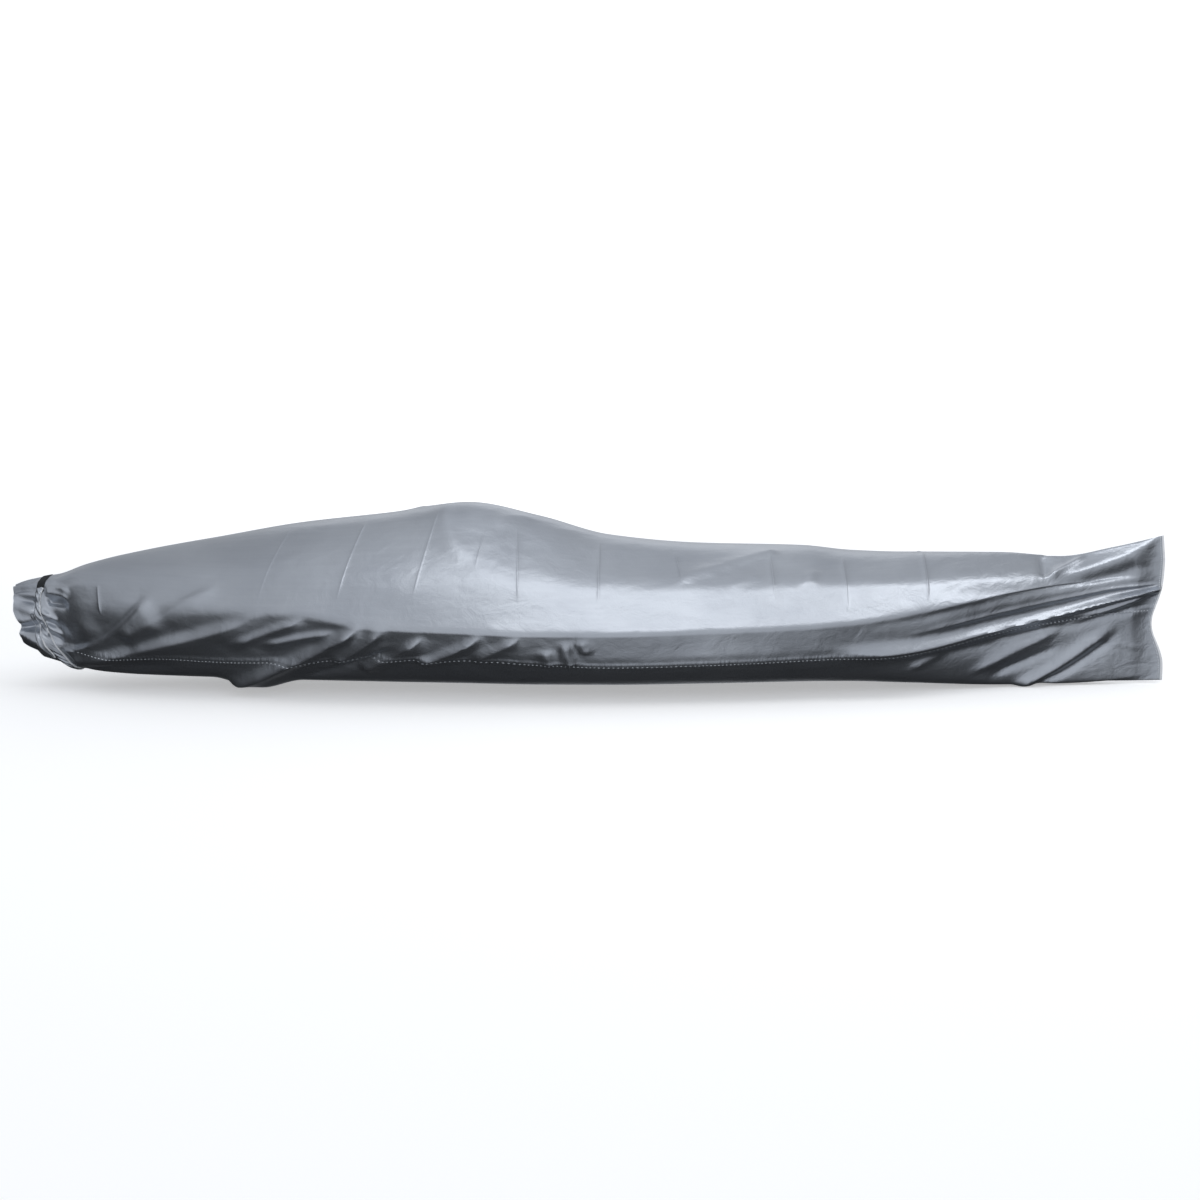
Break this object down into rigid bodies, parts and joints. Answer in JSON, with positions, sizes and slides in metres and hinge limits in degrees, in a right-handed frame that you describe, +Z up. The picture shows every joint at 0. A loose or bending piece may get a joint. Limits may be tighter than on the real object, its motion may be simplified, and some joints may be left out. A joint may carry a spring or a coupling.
{
  "type": "kayak cover",
  "caption": "Long hollow cloth cover shaped by the kayak inside, sewn flat at one end and drawn together by a webbing tie at the other.",
  "frame": {"origin": "under the middle of the cover, level with its lowest fold", "axes": "+X along the cover from the tied mouth to the flat sewn end, -Y to the near side, +Z up"},
  "size_m": [3.4911, 0.7141, 0.5559],
  "materials": {
    "silver_cloth": "plain woven polyester with a silver coating, satin, semi-metallic",
    "black_webbing": "flat woven webbing, matt"
  },
  "bodies": {
    "root": {"upper_panel": "silver_cloth", "lower_panel": "silver_cloth", "tie_webbing": "black_webbing", "tie_casing": "silver_cloth", "tie_tail": "silver_cloth"}
  },
  "joints": []
}
